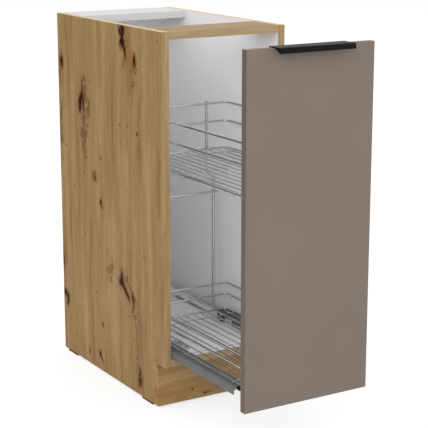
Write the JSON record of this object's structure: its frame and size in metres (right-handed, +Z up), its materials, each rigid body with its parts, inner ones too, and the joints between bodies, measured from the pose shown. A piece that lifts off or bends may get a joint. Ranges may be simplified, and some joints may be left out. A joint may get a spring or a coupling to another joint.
{
  "type": "pull-out base cabinet",
  "caption": "Narrow base cabinet with a tall plain front that pulls out on telescopic slides and carries two wire baskets between its front and a bent rear frame.",
  "frame": {"origin": "on the floor, at the middle of the width and of the depth with the front pulled out as drawn", "axes": "+Z up, -Y towards the person who pulls the front, +X to that person's right"},
  "size_m": [0.3, 0.8372, 0.82],
  "materials": {
    "oak_board": "satin",
    "white_board": "satin",
    "front_board": "matt",
    "black_plastic": "matt",
    "grey_plastic": "satin",
    "clear_plastic": "clear",
    "beech_dowel": "raw",
    "zinc_steel": "zinc plated",
    "coated_steel": "semi-gloss",
    "white_steel": "white powder coat",
    "chrome_wire": "bright",
    "black_metal": "matt"
  },
  "bodies": {
    "carcass": {"side_left": "oak_board", "side_right": "oak_board", "bottom_panel": "white_board", "back_panel": "white_board", "top_rail_front": "oak_board", "top_rail_rear": "white_board", "plinth": "oak_board", "edge_bands": "oak_board", "glides": "black_plastic", "dowels": "beech_dowel", "cam_locks": "zinc_steel", "cam_bolts": "zinc_steel", "back_nails": "zinc_steel", "plinth_angles": "zinc_steel", "plinth_screws": "zinc_steel", "slide_seats_left": "white_steel", "slide_seats_right": "white_steel", "seat_screws": "zinc_steel", "damper_housing": "grey_plastic", "slide_outer_left": "white_steel", "slide_outer_right": "white_steel"},
    "pullout": {"slide_inner_left": "zinc_steel", "slide_inner_right": "zinc_steel", "slide_caps": "black_plastic", "carrier_left": "coated_steel", "carrier_right": "coated_steel", "damper_catch": "black_plastic", "roller_pins": "zinc_steel", "lower_floor": "chrome_wire", "lower_base_rim": "chrome_wire", "lower_middle_rim": "chrome_wire", "lower_top_rim": "chrome_wire", "upper_floor": "chrome_wire", "upper_base_rim": "chrome_wire", "upper_middle_rim": "chrome_wire", "upper_top_rim": "chrome_wire", "rear_upright_left": "chrome_wire", "rear_upright_right": "chrome_wire", "rear_crossbar": "chrome_wire", "bracket_left": "chrome_wire", "bracket_right": "chrome_wire", "bracket_screws": "zinc_steel", "carrier_screws": "zinc_steel", "front_panel": "front_board", "front_bumpers": "clear_plastic", "handle": "black_metal", "handle_screws": "zinc_steel"},
    "cage_outer_left": {"cage_outer_left": "zinc_steel"},
    "cage_outer_right": {"cage_outer_right": "zinc_steel"},
    "middle_left": {"slide_middle_left": "zinc_steel"},
    "middle_right": {"slide_middle_right": "zinc_steel"},
    "cage_inner_left": {"cage_inner_left": "zinc_steel"},
    "cage_inner_right": {"cage_inner_right": "zinc_steel"},
    "roller_left": {"roller_left": "black_plastic"},
    "roller_right": {"roller_right": "black_plastic"}
  },
  "joints": [
    {"name": "pull_out", "type": "slide", "parent": "carcass", "child": "pullout", "axis": [0, -1, 0], "range_m": [-0.297, 0.143]},
    {"name": "cage_outer_left_slide", "type": "slide", "parent": "carcass", "child": "cage_outer_left", "axis": [0, -1, 0], "range_m": [-0.07525, 0.03675]},
    {"name": "middle_left_slide", "type": "slide", "parent": "carcass", "child": "middle_left", "axis": [0, -1, 0], "range_m": [-0.1495, 0.0725]},
    {"name": "cage_inner_left_slide", "type": "slide", "parent": "carcass", "child": "cage_inner_left", "axis": [0, -1, 0], "range_m": [-0.22375, 0.10825]},
    {"name": "cage_outer_right_slide", "type": "slide", "parent": "carcass", "child": "cage_outer_right", "axis": [0, -1, 0], "range_m": [-0.07525, 0.03675]},
    {"name": "middle_right_slide", "type": "slide", "parent": "carcass", "child": "middle_right", "axis": [0, -1, 0], "range_m": [-0.1495, 0.0725]},
    {"name": "cage_inner_right_slide", "type": "slide", "parent": "carcass", "child": "cage_inner_right", "axis": [0, -1, 0], "range_m": [-0.22375, 0.10825]},
    {"name": "roller_left_spin", "type": "hinge", "parent": "pullout", "child": "roller_left", "pos_m": [-0.0982, 0.0906, 0.122], "axis": [1, 0, 0], "continuous": true},
    {"name": "roller_right_spin", "type": "hinge", "parent": "pullout", "child": "roller_right", "pos_m": [0.0982, 0.0906, 0.122], "axis": [1, 0, 0], "continuous": true}
  ],
  "couplings": [
    {"joint": "cage_outer_left_slide", "follows": "pull_out", "ratio": 0.25},
    {"joint": "middle_left_slide", "follows": "pull_out", "ratio": 0.5},
    {"joint": "cage_inner_left_slide", "follows": "pull_out", "ratio": 0.75},
    {"joint": "cage_outer_right_slide", "follows": "pull_out", "ratio": 0.25},
    {"joint": "middle_right_slide", "follows": "pull_out", "ratio": 0.5},
    {"joint": "cage_inner_right_slide", "follows": "pull_out", "ratio": 0.75}
  ]
}
